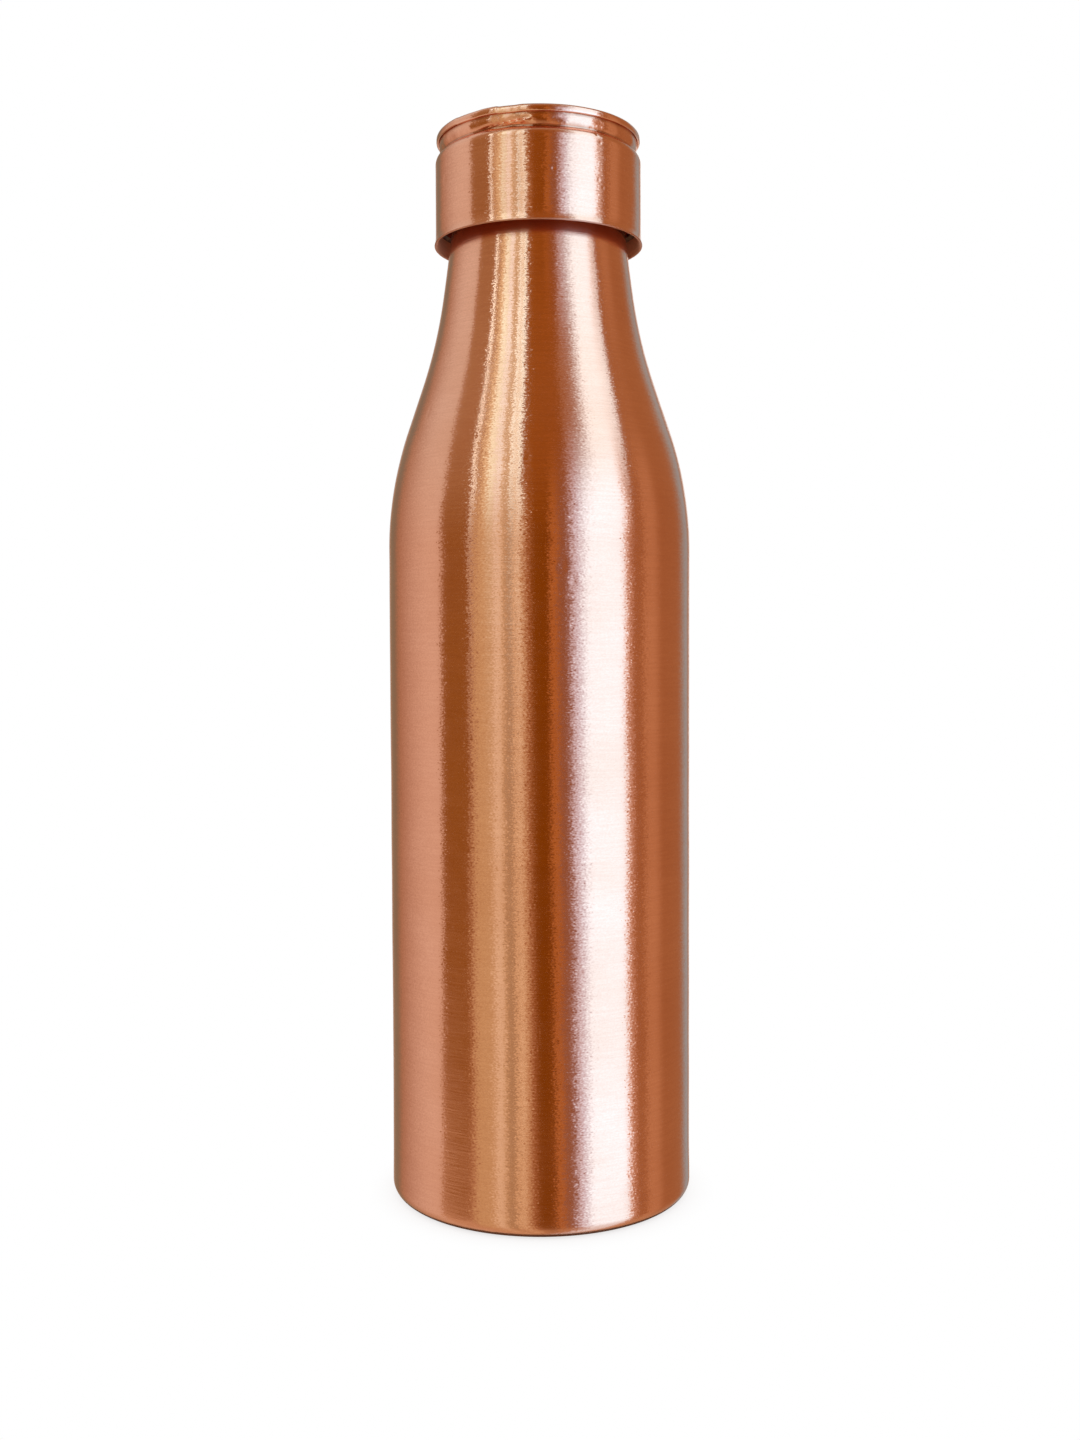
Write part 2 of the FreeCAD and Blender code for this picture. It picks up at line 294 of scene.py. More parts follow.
# heights over which each kind of unevenness begins, and over which it ends
BARREL_FADES = ((3, 14), (246, 225))
WORKED_FADES = ((130, 165), (246, 225))
SIDE_FADES = ((239, 243), (261, 257))
ROLLED_FADES = ((259.4, 261.2), (264.3, 262.6))
ROLLED_Z = 261                 # where the waves that lift the rolled crease are read
BEAD_FADE = (23.2, 24.2)       # radii over which the bead begins
BEAD_Z = 265                   # where the waves that lower it are read
# steps in the bead where it was closed: the angles over which each begins, the angles over which it
# ends, and its share of the full depth
BEAD_STEPS = (
    ((-23.5, -21.5), (-8, -14), 1.0),
    ((-52, -50), (-31, -38), 0.6),
)
BEAD_STEP_IN = 0.10
BEAD_STEP_DOWN = 0.12
CAP_INWARDS = 0.04             # room for the cap's lumps inside the CAD's box
TURNED_OUT = 0.42              # how far the cap's bottom edge turns out
TURNED_OUT_H = 2.1             # and over what height

# waves of the sheet: mean depth in mm, and then (depth in mm, size in mm, seed) of each kind of lump
BARREL_WAVES = (0.10, (0.07, 42, 0.4), (0.05, 17, 1.9))
WORKED_WAVES = (0.03, (0.03, 8, 4.3))
SIDE_WAVES = (0.035, (0.035, 7, 8.8))
ROLLED_WAVES = (0.05, (0.10, 2.6, 6.4))
ROLLED_RISE = (0.0, (0.14, 15, 2.2), (0.07, 4, 5.1))
BEAD_WAVES = (0.05, (0.05, 6, 3.3))
BEAD_DROP = (0.05, (0.05, 9, 5.7))


def from_front(angle, start=0):
    """How many degrees an angle in radians lies to the right of the front, or of start."""
    return (math.degrees(angle) + 90 - start + 180) % 360 - 180


def fade(x, start, end):
    """0 at start and beyond it, 1 at end and beyond it."""
    t = min(max((x - start) / (end - start), 0), 1)
    return t * t * (3 - 2 * t)


def fades(x, begins, ends):
    """A fade in and a fade out, each given as (where it is 0, where it is 1)."""
    return fade(x, *begins) * fade(x, *ends)


def lumps(r, z, angle, size, seed):
    """Noise from -1 to 1 round a piece, with lumps of about this size in mm."""
    at = Vector((r * math.cos(angle), r * math.sin(angle), z)) / size
    return noise.noise(at + Vector((seed, 3.1 * seed, 7.7)))


def waves(r, z, angle, mean, *kinds):
    """How far the waves of one of the lists above shift a place, in mm."""
    return mean + sum(depth * lumps(r, z, angle, size, seed) for depth, size, seed in kinds)


def dented(dents, r, z, angle):
    """How deep the dents are at a place, in mm."""
    depth = 0
    for dent_angle, dent_z, radius, dent_depth in dents:
        if abs(z - dent_z) < radius:
            turn = math.radians(from_front(angle, dent_angle))
            away = math.hypot(turn * r, z - dent_z) / radius
            depth += dent_depth * fade(away, 1, 0)
    return depth


def uneven_body(r, z, angle):
    """The wall wanders inwards a little, more so where the shoulder and neck were worked by hand."""
    inwards = fades(z, *BARREL_FADES) * waves(r, z, angle, *BARREL_WAVES)
    inwards += fades(z, *WORKED_FADES) * waves(r, z, angle, *WORKED_WAVES)
    return r - inwards - dented(BODY_DENTS, r, z, angle), z


def lap(z, angle):
    """The fold of the crease: a ridge that crosses the flare, with a hollow above it, in mm."""
    share = (from_front(angle) - LAP_START[0]) / (LAP_END[0] - LAP_START[0])
    if not 0 < share < 1:
        return 0
    above = (z - LAP_START[1] - share * (LAP_END[1] - LAP_START[1])) / LAP_WIDTH
    ridge = math.exp(-above ** 2) - LAP_HOLLOW * math.exp(-(above - LAP_HOLLOW_ABOVE) ** 2)
    return LAP_HEIGHT * ridge * fade(share, *LAP_FADES[0]) * fade(share, *LAP_FADES[1])


def uneven_cap(r, z, angle):
    """The crease and the flare wander as they were rolled by hand, and the side has faint waves.

    Its bottom edge turns out a little.
    """
    rolled = fades(z, *ROLLED_FADES)
    rise = rolled * waves(r, ROLLED_Z, angle, *ROLLED_RISE)
    inwards = CAP_INWARDS + rolled * waves(r, z, angle, *ROLLED_WAVES)
    inwards += fades(z, *SIDE_FADES) * waves(r, z, angle, *SIDE_WAVES)
    turned_out = max(SKIRT_BOTTOM_Z + TURNED_OUT_H - z, 0) / TURNED_OUT_H
    inwards -= TURNED_OUT * turned_out ** 2
    return r - inwards + lap(z, angle) - dented(CAP_DENTS, r, z, angle), z + rise


def uneven_hem(r, z, angle):
    """The bead round the top wanders a little in and down, and has two small steps."""
    turn = from_front(angle)
    step = sum(share * fades(turn, begins, ends) for begins, ends, share in BEAD_STEPS)
    bead = fade(r, *BEAD_FADE)
    inwards = bead * (waves(r, z, angle, *BEAD_WAVES) + BEAD_STEP_IN * step)
    down = bead * (waves(r, BEAD_Z, angle, *BEAD_DROP) + BEAD_STEP_DOWN * step)
    return r - inwards, z - down


# ---------------------------------------------------------------- meshes

COLUMNS = 480                  # faces round a turned piece
SHARP_ANGLE = 38.0             # degrees between faces that look sharp
EDGE_SOFTEST = 0.25            # curvature, in 1/mm, at which an edge starts to be worn or a hollow to be painted with shade
EDGE_HARDEST = 2.0             # and at which it is fully so
SHORTEST_GAP = 0.05            # mm between points, below which a curvature would mean nothing
# where shade is painted under the cap's hem, and how far it reaches
UNDER_HEM = ((BRIM_R, HEM_BOTTOM_Z), 0.8)


def edge_marks(loop, i, shade_places):
    """How worn a turned outline is at a point, and how much shade is painted on it: tight edges are rubbed,
    tight hollows painted dark.
    """
    before, at, after = loop[i - 1], loop[i], loop[(i + 1) % len(loop)]
    turn = (heading(at, after) - heading(before, at) + 180) % 360 - 180
    gap = (math.dist(before, at) + math.dist(at, after)) / 2
    curvature = math.radians(turn) / max(gap, SHORTEST_GAP)
    # tight hollows are painted dark, as the shade that falls in them
    crease_shade = fade(-curvature, EDGE_SOFTEST, EDGE_HARDEST)
    # and so are the places given, where shade falls against a neighbouring piece
    for place, reach in shade_places:
        crease_shade = max(crease_shade, fade(math.dist(at, place), reach, 0.3 * reach))
    return fade(curvature, EDGE_SOFTEST, EDGE_HARDEST), crease_shade


def turned_mesh(name, face, rest, uneven=None, shade_places=()):
    """Mesh turned from an outline. Faces from the rest of the outline get material 1.

    The last argument lists places, as ((r, z), reach), where shade is painted against a neighbouring piece.
    """
    loop = face + rest[1:]
    if math.dist(loop[0], loop[-1]) < TINY:
        loop = loop[:-1]
    angles = [2 * math.pi * c / COLUMNS for c in range(COLUMNS)]
    verts, marks, rings = [], [], []
    for i, (r, z) in enumerate(loop):
        first = len(verts)
        around = angles if r > TINY else angles[:1]
        for a in around:
            bent_r, bent_z = uneven(r, z, a) if uneven else (r, z)
            verts.append((bent_r * math.cos(a) * MM, bent_r * math.sin(a) * MM, bent_z * MM))
        marks += [edge_marks(loop, i, shade_places)] * len(around)
        rings.append([first + c % len(around) for c in range(COLUMNS)])

    faces, material = [], []
    for i, low in enumerate(rings):
        high = rings[(i + 1) % len(rings)]
        if low[0] == low[1] and high[0] == high[1]:
            continue
        for c in range(COLUMNS):
            d = (c + 1) % COLUMNS
            corners = (low[c], low[d], high[d], high[c])
            faces.append([v for k, v in enumerate(corners) if v != corners[k - 1]])
            material.append(0 if i < len(face) - 1 else 1)

    mesh = bpy.data.meshes.new(name)
    mesh.from_pydata(verts, [], faces)
    mesh.polygons.foreach_set("material_index", material)
    mesh.polygons.foreach_set("use_smooth", [True] * len(faces))
    # the second attribute carries the painted shade of hollows and of the place under the hem
    for attribute, values in zip(("wear", "crease_shade"), zip(*marks)):
        mesh.attributes.new(attribute, "FLOAT", "POINT").data.foreach_set("value", values)
    mesh.set_sharp_from_angle(angle=math.radians(SHARP_ANGLE))
    piece = bpy.data.objects.new(name, mesh)
    bpy.context.scene.collection.objects.link(piece)
    return piece


body = turned_mesh("bottle_body", *body_outline(), uneven=uneven_body)
plate = turned_mesh("bottle_base", *plate_outline())
skirt = turned_mesh("cap_side", *skirt_outline(), uneven=uneven_cap, shade_places=(UNDER_HEM,))
disc = turned_mesh("cap_top", *disc_outline(), uneven=uneven_hem)

# ---------------------------------------------------------------- materials

ANISOTROPY = 0.9
SMEAR_TURN = 0.25              # of a whole turn, so that reflections smear across the brush marks
GLITTER = (0.06, 0.7)          # how far ordinary and stray brush marks turn the normal
# noise cells to a millimetre, round the axis and across it
BRUSH_GRID = (0.12, 1.9)
MARK_GRID = (1.9, 3.2)
MOTTLE_GRID = (0.2, 0.26)
SMUDGE_GRID = (0.03, 0.045)
FLOW_GRID = (0.5, 0.8)
CLOUD_GRID = (0.2, 0.3)
BRAZE_GRAIN_GRID = (3.0, 3.0)
SILICONE_GRAIN_GRID = (4.0, 4.0)
# how strongly each kind of mark colours the copper
BRUSH_SHOWS = 0.17
MARK_SHOWS = 0.20
RUBBED_SHOWS = 0.6
PIT_SHOWS = 0.7
# how much of the relief each makes, with bumps of the braze and the silicone in mm
BRUSH_RELIEF = 2.2
MOTTLE_RELIEF = 1.2
PIT_RELIEF = 2.0
FLOW_RELIEF = 6.0
BRAZE_BUMP = 0.03
SILICONE_BUMP = 0.02
# changes of roughness: from clean to smudged, from one end of the mottling to the other, and where rubbed
SMUDGE_ROUGHENS = (-0.01, 0.02)
MOTTLE_ROUGHENS = (-0.01, 0.015)
RUBBED_ROUGHENS = -0.03
PITS_PER_MM = 0.085
PIT_EDGE = (0.012, 0.03)       # where a pit ends, as a share of the distance between pits
PIT_FEW = (0.72, 0.74)         # the share of places left without a pit
# the pits' own dark colour, which also paints the shade in hollows
PIT_AND_SHADE_COLOUR = (0.20, 0.07, 0.03, 1)
# copper, from polished edges to the darkest, which is painted shade on the threads deep in the gap
WORN = (0.95, 0.56, 0.40, 1)
TINT = (0.90, 0.42, 0.25, 1)
DEEP = (0.86, 0.385, 0.22, 1)
RAW = (0.78, 0.33, 0.19, 1)
DARK = (0.66, 0.26, 0.14, 1)
TARNISHED = (0.66, 0.26, 0.15, 1)
THREAD_SHADE_DARK = (0.40, 0.14, 0.08, 1)
# braze colours: dark brown as painted shade of the gaps, in two tones that vary at random
BRAZE_SHADE = (0.15, 0.07, 0.035, 1)
BRAZE_SHADE_DARK = (0.08, 0.035, 0.02, 1)
SILICONE_PALE = (0.86, 0.85, 0.82, 1)
SILICONE_DUSTY = (0.78, 0.75, 0.70, 1)
SILICONE_IOR = 1.42


class Nodes:
    """Short ways to build a node tree."""

    def __init__(self, tree):
        self.tree = tree
        self.tree.nodes.clear()

    def add(self, kind, inputs=(), **settings):
        node = self.tree.nodes.new(kind)
        for key, value in settings.items():
            setattr(node, key, value)
        for key, value in dict(inputs).items():
            self.put(node.inputs[key], value)
        return node

    def put(self, socket, value):
        """Links a socket, or gives it a value."""
        if isinstance(value, bpy.types.NodeSocket):
            self.tree.links.new(value, socket)
        else:
            socket.default_value = value

    def math(self, operation, *values):
        return self.add("ShaderNodeMath", enumerate(values), operation=operation).outputs[0]

    def noise(self, vector, detail=2.0):
        inputs = {"Vector": vector, "Scale": 1.0, "Detail": detail}
        return self.add("ShaderNodeTexNoise", inputs).outputs[0]

    def between(self, value, low, high, to_low=0.0, to_high=1.0):
        """value mapped from low..high to to_low..to_high, eased and clamped."""
        inputs = {"Value": value, "From Min": low, "From Max": high, "To Min": to_low, "To Max": to_high}
        return self.add("ShaderNodeMapRange", inputs, interpolation_type="SMOOTHSTEP").outputs[0]

    def band(self, value, fade_in, full, fading, gone):
        """1 from full to fading, and 0 up to fade_in and from gone on."""
        fades_out = self.between(value, fading, gone, 1.0, 0.0)
        return self.math("MULTIPLY", self.between(value, fade_in, full), fades_out)

    def mix(self, factor, a, b):
        return self.add("ShaderNodeMix", {0: factor, 6: a, 7: b}, data_type="RGBA").outputs[2]


def new_material(name):
    material = bpy.data.materials.new(name)
    material.use_nodes = True
    return material, Nodes(material.node_tree)


def metal_shader(n, tangent):
    """Metal brushed round the axis: it smears reflections up and down, and keeps them crisp sideways."""
    shader = n.add("ShaderNodeBsdfPrincipled")
    shader.inputs["Metallic"].default_value = 1.0
    shader.inputs["Anisotropic"].default_value = ANISOTROPY
    shader.inputs["Anisotropic Rotation"].default_value = SMEAR_TURN
    n.put(shader.inputs["Tangent"], tangent)
    return shader


def glitter(n, tangent, marks, slight, strong):
    """The normal, turned to either side round the axis: a little by most brush marks, a lot by a few."""
    off = n.math("SUBTRACT", marks, 0.5)
    amount = n.math("ADD", n.math("MULTIPLY", n.math("MULTIPLY", off, off), strong), slight)
    turn = n.math("MULTIPLY", off, amount)
    aside = n.add("ShaderNodeVectorMath", {0: tangent, "Scale": turn}, operation="SCALE").outputs[0]
    normal = n.add("ShaderNodeNewGeometry").outputs["Normal"]
    turned = n.add("ShaderNodeVectorMath", {0: normal, 1: aside}, operation="ADD").outputs[0]
    return n.add("ShaderNodeVectorMath", {0: turned}, operation="NORMALIZE").outputs[0]


class Surface:
    """Places on a turned piece, in millimetres."""

    def __init__(self, n):
        self.n = n
        point = n.add("ShaderNodeTexCoord").outputs["Object"]
        scaled = n.add("ShaderNodeVectorMath", {0: point, "Scale": 1 / MM}, operation="SCALE")
        self.point = scaled.outputs[0]
        self.x, self.y, self.z = n.add("ShaderNodeSeparateXYZ", {0: self.point}).outputs
        radius = n.math("SQRT", n.math("ADD", n.math("POWER", self.x, 2.0), n.math("POWER", self.y, 2.0)))
        self.across = n.math("SUBTRACT", self.z, radius)

    def grid(self, around, across):
        """A vector in which marks are 1/around mm long round the axis and 1/across mm wide."""
        n = self.n
        inputs = (n.math("MULTIPLY", self.x, around), n.math("MULTIPLY", self.y, around),
                  n.math("MULTIPLY", self.across, across))
        return n.add("ShaderNodeCombineXYZ", enumerate(inputs)).outputs[0]


def copper(name, tint, deep, dark, worn, roughness, grain):
    """Satin copper with brush marks, smudges, a few pits, rubbed edges, and shade painted dark in its
    hollows.

    Smudges take the colour from tint to deep. Brush marks are dark, and rubbed edges have the worn colour.
    grain is the height of the bumps in mm.
    """
    material, n = new_material(name)
    on = Surface(n)
    tangent = n.add("ShaderNodeTangent", direction_type="RADIAL", axis="Z").outputs[0]
    shader = metal_shader(n, tangent)

    brush = n.noise(on.grid(*BRUSH_GRID), 2.0)
    marks = n.noise(on.grid(*MARK_GRID), 0.0)
    mottle = n.noise(on.grid(*MOTTLE_GRID), 2.0)
    smudge = n.noise(on.grid(*SMUDGE_GRID), 4.0)
    cells = n.add("ShaderNodeTexVoronoi", {"Vector": on.point, "Scale": PITS_PER_MM})
    draw = n.add("ShaderNodeSeparateColor", {0: cells.outputs["Color"]}).outputs[0]
    pit = n.between(cells.outputs["Distance"], *PIT_EDGE, 1.0, 0.0)
    pit = n.math("MULTIPLY", pit, n.between(draw, *PIT_FEW))
    edge = n.add("ShaderNodeAttribute", attribute_name="wear").outputs["Fac"]
    rubbed = n.math("MULTIPLY", edge, n.between(mottle, 0.3, 0.6, 0.4, 1.0))
    # painted shade in tight hollows and under the hem, stronger in some patches than in others
    crease_shade = n.add("ShaderNodeAttribute", attribute_name="crease_shade").outputs["Fac"]
    painted_shade = n.math("MULTIPLY", crease_shade, n.between(mottle, 0.3, 0.65, 0.6, 0.3))

    colour = n.mix(n.between(smudge, 0.35, 0.68), tint, deep)
    colour = n.mix(n.between(brush, 0.32, 0.68, 0.0, BRUSH_SHOWS), colour, dark)
    colour = n.mix(n.between(marks, 0.25, 0.75, MARK_SHOWS, 0.0), colour, dark)
    colour = n.mix(n.math("MULTIPLY", rubbed, RUBBED_SHOWS), colour, worn)
    # the pits, and the shade painted in hollows and under the hem, take on this dark colour
    pits_and_shade = n.math("MAXIMUM", n.math("MULTIPLY", pit, PIT_SHOWS), painted_shade)
    colour = n.mix(pits_and_shade, colour, PIT_AND_SHADE_COLOUR)
    n.put(shader.inputs["Base Color"], colour)

    clean, smudged = (roughness + change for change in SMUDGE_ROUGHENS)
    rough = n.between(smudge, 0.3, 0.75, clean, smudged)
    rough = n.math("ADD", rough, n.between(mottle, 0.3, 0.7, *MOTTLE_ROUGHENS))
    rough = n.math("ADD", rough, n.math("MULTIPLY", rubbed, RUBBED_ROUGHENS))
    n.put(shader.inputs["Roughness"], rough)

    height = n.math("MULTIPLY", brush, BRUSH_RELIEF)
    height = n.math("ADD", height, n.math("MULTIPLY", mottle, MOTTLE_RELIEF))
    height = n.math("SUBTRACT", height, n.math("MULTIPLY", pit, PIT_RELIEF))
    normal = glitter(n, tangent, marks, *GLITTER)
    bump = n.add("ShaderNodeBump", {"Height": height, "Distance": grain * MM, "Normal": normal})
    n.put(shader.inputs["Normal"], bump.outputs[0])
    n.add("ShaderNodeOutputMaterial", {0: shader.outputs[0]})
    return material


def braze(name):
    """Brazing alloy, left as it flowed: lumpy, and dull in patches. Its dark brown is painted shade of the
    gaps it sits in.
    """
    material, n = new_material(name)
    on = Surface(n)
    flow = n.noise(on.grid(*FLOW_GRID), 3.0)
    grain = n.noise(on.grid(*BRAZE_GRAIN_GRID), 2.0)
    shader = n.add("ShaderNodeBsdfPrincipled")
    shader.inputs["Metallic"].default_value = 1.0
    n.put(shader.inputs["Base Color"], n.mix(n.between(flow, 0.35, 0.65), BRAZE_SHADE, BRAZE_SHADE_DARK))
    n.put(shader.inputs["Roughness"], n.between(flow, 0.3, 0.7, 0.28, 0.5))
    height = n.math("ADD", n.math("MULTIPLY", flow, FLOW_RELIEF), grain)
    bump = n.add("ShaderNodeBump", {"Height": height, "Distance": BRAZE_BUMP * MM})
    n.put(shader.inputs["Normal"], bump.outputs[0])
    n.add("ShaderNodeOutputMaterial", {0: shader.outputs[0]})
    return material


def silicone(name):
    """Milky silicone with fine moulding grain and a little dust."""
    material, n = new_material(name)
    on = Surface(n)
    cloud = n.noise(on.grid(*CLOUD_GRID), 3.0)
    grain = n.noise(on.grid(*SILICONE_GRAIN_GRID), 2.0)
    shader = n.add("ShaderNodeBsdfPrincipled")
    shader.inputs["IOR"].default_value = SILICONE_IOR
    n.put(shader.inputs["Base Color"], n.mix(n.between(cloud, 0.35, 0.7), SILICONE_PALE, SILICONE_DUSTY))
    n.put(shader.inputs["Roughness"], n.between(grain, 0.3, 0.7, 0.42, 0.58))
    bump = n.add("ShaderNodeBump", {"Height": grain, "Distance": SILICONE_BUMP * MM})
    n.put(shader.inputs["Normal"], bump.outputs[0])
    n.add("ShaderNodeOutputMaterial", {0: shader.outputs[0]})
    return material


outside = copper("copper_outside", TINT, DEEP, DARK, WORN, roughness=0.165, grain=0.012)
inside = copper("copper_inside", TINT, RAW, TARNISHED, TINT, roughness=0.65, grain=0.03)
# the threads sit deep in the gap, so their darker colours are painted shade
threads = copper("copper_threads_shaded", RAW, TARNISHED, THREAD_SHADE_DARK, DARK, roughness=0.20, grain=0.02)
joint = braze("braze_joint")
washer = silicone("silicone_washer")


def paint(obj, *materials):
    """Gives a mesh its materials. Clearing a list resets which face has which, so an empty one is left."""
    if obj.data.materials:
        obj.data.materials.clear()
    for material in materials:
        obj.data.materials.append(material)


# the disc's outline follows its underside, so its materials are the other way round
for piece, body_name, node, materials in (
    (body, "bottle", "body_shell", (outside, inside)),
    (plate, "bottle", "base_plate", (outside, inside)),
    (skirt, "cap", "cap_skirt", (outside, inside)),
    (disc, "cap", "cap_top_disc", (inside, outside)),
):
    paint(piece, *materials)
    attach(piece, body_name)
    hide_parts(node)

for node in ("base_braze_ring", "neck_braze_ring", "cap_braze_ring"):
    paint(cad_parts[node], joint)
for node in ("neck_collar", "cap_thread_cup"):
    paint(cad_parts[node], threads)
paint(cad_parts["seal_washer"], washer)

# ---------------------------------------------------------------- studio

scene = bpy.context.scene
scene.view_settings.view_transform = "Standard"
scene.view_settings.look = "None"

FLOOR_HALF = 4.0               # metres
FLOOR_GLOWS = (0.015, 0.046)   # metres from the axis over which the glow takes over
SHADE_INSET = 0.6              # mm from the body's side to the edge of the shade
SHADE_Z = 0.1                  # mm
SHADE_SIDES = 64
SHADE_COLOUR = (0.10, 0.07, 0.05, 1)


def flat_stage(name, corners, z):
    """A level face that belongs to the studio and not to the bottle."""
    mesh = bpy.data.meshes.new(name)
    mesh.from_pydata([(x, y, z) for x, y in corners], [], [range(len(corners))])
    obj = bpy.data.objects.new(name, mesh)
    scene.collection.objects.link(obj)
    return obj


def white_floor():
    """A white floor that fades into a white glow, so that no horizon shows behind the bottle.

    Reflections don't see it, and see the world's cards instead.
    """
    corners = [(x * FLOOR_HALF, y * FLOOR_HALF) for x, y in ((-1, -1), (1, -1), (1, 1), (-1, 1))]
    floor = flat_stage("floor", corners, 0)
    floor.visible_glossy = False
    material, n = new_material("floor_white")
    matt = n.add("ShaderNodeBsdfPrincipled", {"Base Color": (1, 1, 1, 1), "Roughness": 0.9})
    glow = n.add("ShaderNodeEmission", {"Strength": 1.0})
    point = n.add("ShaderNodeTexCoord").outputs["Object"]
    away = n.add("ShaderNodeVectorMath", {0: point}, operation="LENGTH").outputs["Value"]
    inputs = {0: n.between(away, *FLOOR_GLOWS), 1: matt.outputs[0], 2: glow.outputs[0]}
    n.add("ShaderNodeOutputMaterial", {0: n.add("ShaderNodeMixShader", inputs).outputs[0]})
    paint(floor, material)


def foot_shade():
    """The shadowed ground under the foot, painted as a dark glowing disc for the foot's bend to reflect.
    Only reflections see it.
    """
    turns = [2 * math.pi * i / SHADE_SIDES for i in range(SHADE_SIDES)]
    circle = [along((0, 0), math.degrees(turn), (BODY_R - SHADE_INSET) * MM) for turn in turns]
    shade = flat_stage("foot_shade", circle, SHADE_Z * MM)
    shade.visible_camera = False
    shade.visible_diffuse = False
    shade.visible_shadow = False
    shade.visible_transmission = False
    material, n = new_material("shade_dark")
    dark = n.add("ShaderNodeEmission", {"Color": SHADE_COLOUR, "Strength": 1.0})
    n.add("ShaderNodeOutputMaterial", {0: dark.outputs[0]})
    paint(shade, material)


white_floor()
foot_shade()

# What stands round the bottle and is reflected in it. Azimuths are in degrees, as seen from above: 0 is
# behind the camera and + is to its right. A card fades in between its first two azimuths and out between
# its last two, and lies over the cards before it. There is one ring level with the bottle and below it,
# and one above.
LEVEL_ROOM = (0.41, 0.23, 0.12)
LEVEL_CARDS = (
    ((-178, -174, -168, -160), (0.55, 0.50, 0.45)),    # pale strip behind
    ((-164, -154, -146, -132), (0.27, 0.23, 0.16)),    # grey corner on the left
    ((-148, -88, -82, -75), (0.78, 0.77, 0.80)),       # pale wall
    ((-82, -74, -57, -51), (0.30, 0.15, 0.03)),        # dark gap beside it
    ((-55, -48, -16, -8), (0.65, 0.61, 0.42)),         # warm curtain
    ((-38, -31, -30, -26), (0.86, 0.95, 0.88)),        # its folds, the nearest with glinting threads
    ((-27, -24, -22, -19), (0.46, 0.42, 0.30)),
    ((-20, -18.5, -18.5, -17), (0.85, 0.85, 0.70)),
    ((-16.5, -15, -15, -13.5), (1.05, 1.20, 1.10)),
    ((-13, -11.5, -11.5, -10), (0.75, 0.70, 0.50)),
    ((-9, -4, 5, 9), (0.22, 0.08, 0.0)),               # dark doorway
    ((6, 9, 11, 14), (0.52, 0.26, 0.08)),              # its lit edge
    ((13, 15, 24, 34), (0.32, 0.18, 0.12)),            # dark frame of the window
    ((21, 31, 67, 73), (0.95, 0.85, 0.85)),            # its sides, bluish on the left
    ((19, 29, 38, 46), (0.78, 1.20, 2.1)),
    ((26, 37, 63, 70), (1.25, 2.45, 4.1)),             # window
    ((72, 73, 73, 74), (0.75, 0.60, 0.55)),
    ((80, 88, 94, 106), (0.56, 0.37, 0.24)),           # wall on the right
    ((128, 148, 150, 160), (0.36, 0.46, 0.52)),        # grey corner on the right
    ((160, 166, 174, 179), (0.95, 0.95, 0.95)),        # second window, far behind
)
UPPER_ROOM = (0.41, 0.24, 0.12)
UPPER_CARDS = (
    ((-178, -174, -168, -160), (0.45, 0.45, 0.45)),
    ((-164, -154, -146, -132), (0.25, 0.26, 0.22)),
    ((-150, -98, -82, -75), (0.76, 0.84, 0.92)),
    ((-82, -75, -56, -55), (0.44, 0.32, 0.20)),
    ((-55, -54, -52.5, -51.5), (1.8, 2.9, 3.6)),       # lamp tube
    ((-52, -51, -50, -47), (0.54, 0.46, 0.32)),
    ((-50, -44, -17, -12), (0.95, 1.10, 0.90)),        # curtain, lit from above
    ((-43, -39, -37, -35), (1.25, 2.1, 2.4)),
    ((-36, -34, -31, -29), (1.20, 1.9, 2.6)),
    ((-29, -27, -26, -24), (0.60, 0.60, 0.45)),
    ((-23.5, -22.5, -20.5, -19.5), (1.35, 2.4, 3.2)),
    ((-18, -17, -15, -13), (1.35, 2.4, 3.2)),
    ((-13, -9, 16, 22), (0.34, 0.15, 0.03)),
    ((31, 47, 72, 78), (1.25, 2.2, 3.3)),
    ((126, 148, 150, 160), (0.45, 0.58, 0.64)),
    ((160, 166, 174, 179), (1.1, 1.1, 1.1)),
)
UPPER_FROM = (-4.0, 34.0)      # degrees above the horizon over which the upper ring takes over
UPPER_LATE = 12.0              # and how much higher that is on the right
UPPER_LATE_FROM = (0.0, 20.0)  # azimuths over which it becomes so
SPREAD = 0.84                  # azimuths are squeezed by this high up, which spreads the cards out
SPREAD_FROM = (18.0, 52.0)     # degrees above the horizon
CEILING = (0.45, 0.38, 0.32)
CEILING_FROM = (53.0, 76.0)    # degrees above the horizon
GROUND = (0.64, 0.52, 0.38)
GROUND_SHOWS = 0.6             # the rest still shows the cards
GROUND_FROM = (20.0, 50.0)     # degrees below the horizon
TABLE = (0.66, 0.55, 0.45)
TABLE_ACROSS = (-84.0, -80.0, -56.0, -50.0)
TABLE_FROM = (18.5, 22.0)      # degrees below the horizon, at the table's left and right ends
TABLE_BLUR = 0.5               # degrees to either side of its edge
LEAN = 0.22                    # degrees by which cards on the right lean outward, for each degree below
LEAN_FROM = (-40.0, 10.0)      # azimuths over which they come to lean


def ring(n, azimuth, room, cards):
    """The colour of a ring of cards in front of a room's colour."""
    colour = (*room, 1)
    for azimuths, rgb in cards:
        colour = n.mix(n.band(azimuth, *azimuths), colour, (*rgb, 1))
    return colour


def table_shows(n, azimuth, below):
    """Where the table on the left shows. Its edge slopes down to the right."""
    edge_at = n.between(azimuth, TABLE_ACROSS[1], TABLE_ACROSS[2], *TABLE_FROM)
    past_edge = n.math("SUBTRACT", below, edge_at)
    return n.math("MULTIPLY", n.band(azimuth, *TABLE_ACROSS), n.between(past_edge, -TABLE_BLUR, TABLE_BLUR))


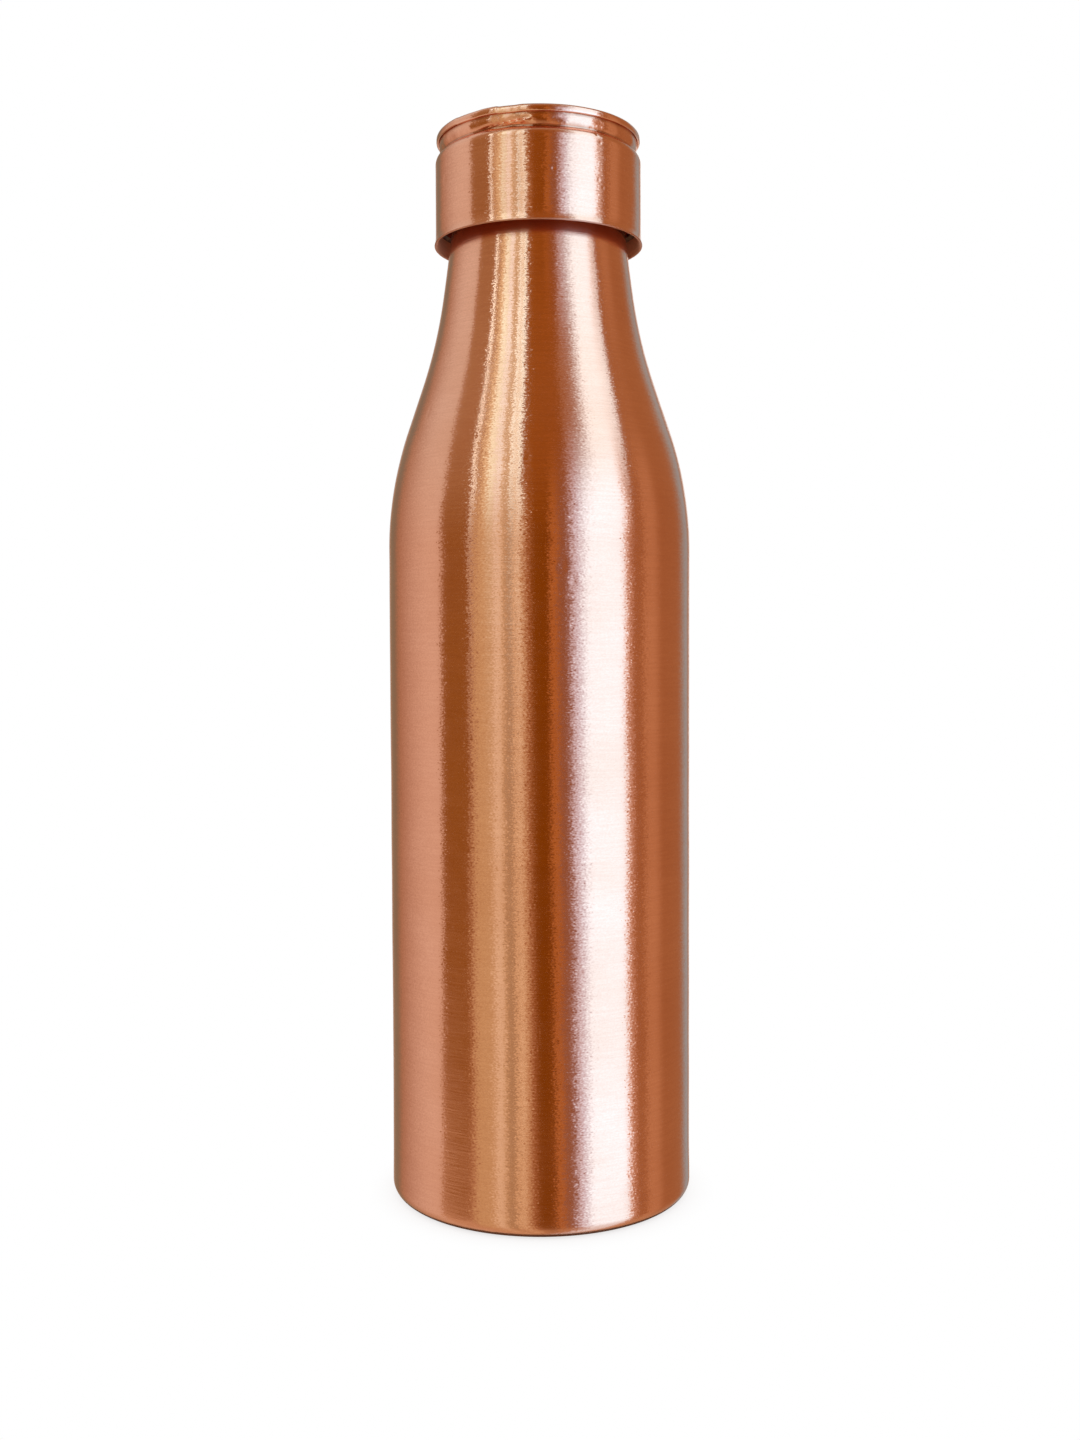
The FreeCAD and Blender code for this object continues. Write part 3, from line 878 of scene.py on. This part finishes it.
def studio_world():
    """Plain white for the camera and the floor, and the two rings of cards for the copper."""
    world = bpy.data.worlds.new("studio")
    world.use_nodes = True
    world.cycles.sampling_method = "NONE"       # reflections find the cards by themselves
    n = Nodes(world.node_tree)
    direction = n.add("ShaderNodeTexCoord").outputs["Generated"]
    x, y, z = n.add("ShaderNodeSeparateXYZ", {0: direction}).outputs
    azimuth = n.math("MULTIPLY", n.math("ARCTAN2", x, n.math("MULTIPLY", y, -1.0)), math.degrees(1))
    elevation = n.math("MULTIPLY", n.math("ARCSINE", z), math.degrees(1))
    below = n.math("MAXIMUM", n.math("MULTIPLY", elevation, -1.0), 0.0)

    lean = n.math("MULTIPLY", below, n.between(azimuth, *LEAN_FROM, 0.0, LEAN))
    level = ring(n, n.math("SUBTRACT", azimuth, lean), LEVEL_ROOM, LEVEL_CARDS)
    spread = n.between(elevation, *SPREAD_FROM, 1.0, SPREAD)
    upper = ring(n, n.math("MULTIPLY", azimuth, spread), UPPER_ROOM, UPPER_CARDS)
    late = n.between(azimuth, *UPPER_LATE_FROM, 0.0, UPPER_LATE)
    above = n.between(n.math("SUBTRACT", elevation, late), *UPPER_FROM)

    cards = n.mix(above, level, upper)
    cards = n.mix(n.between(elevation, *CEILING_FROM), cards, (*CEILING, 1))
    cards = n.mix(table_shows(n, azimuth, below), cards, (*TABLE, 1))
    cards = n.mix(n.between(below, *GROUND_FROM, 0.0, GROUND_SHOWS), cards, (*GROUND, 1))
    reflected = n.add("ShaderNodeBackground", {"Color": cards, "Strength": 1.0})
    white = n.add("ShaderNodeBackground", {"Color": (1, 1, 1, 1), "Strength": 1.0})
    glossy = n.add("ShaderNodeLightPath").outputs["Is Glossy Ray"]
    chosen = n.add("ShaderNodeMixShader", {0: glossy, 1: white.outputs[0], 2: reflected.outputs[0]})
    n.add("ShaderNodeOutputWorld", {0: chosen.outputs[0]})
    return world


scene.world = studio_world()

# ---------------------------------------------------------------- camera

CAMERA_BACK = 0.3841           # metres from the axis
CAMERA_HEIGHT = 0.1372         # metres
LOOKS_DOWN = 2.56              # degrees
ROLL = 0.19                    # degrees
SENSOR_WIDTH = 36.0            # mm
LENS = 37.725                  # mm
CLIP_START = 0.01              # metres
CLIP_END = 50.0                # metres

camera_data = bpy.data.cameras.new("camera")
camera_data.sensor_width = SENSOR_WIDTH
camera_data.lens = LENS
camera_data.clip_start = CLIP_START
camera_data.clip_end = CLIP_END
camera = bpy.data.objects.new("camera", camera_data)
scene.collection.objects.link(camera)
camera.location = (0, -CAMERA_BACK, CAMERA_HEIGHT)
tilt = Euler((math.radians(90 - LOOKS_DOWN), 0, 0)).to_matrix()
roll = Matrix.Rotation(math.radians(-ROLL), 3, "Z")
camera.rotation_euler = (tilt @ roll).to_euler()
scene.camera = camera
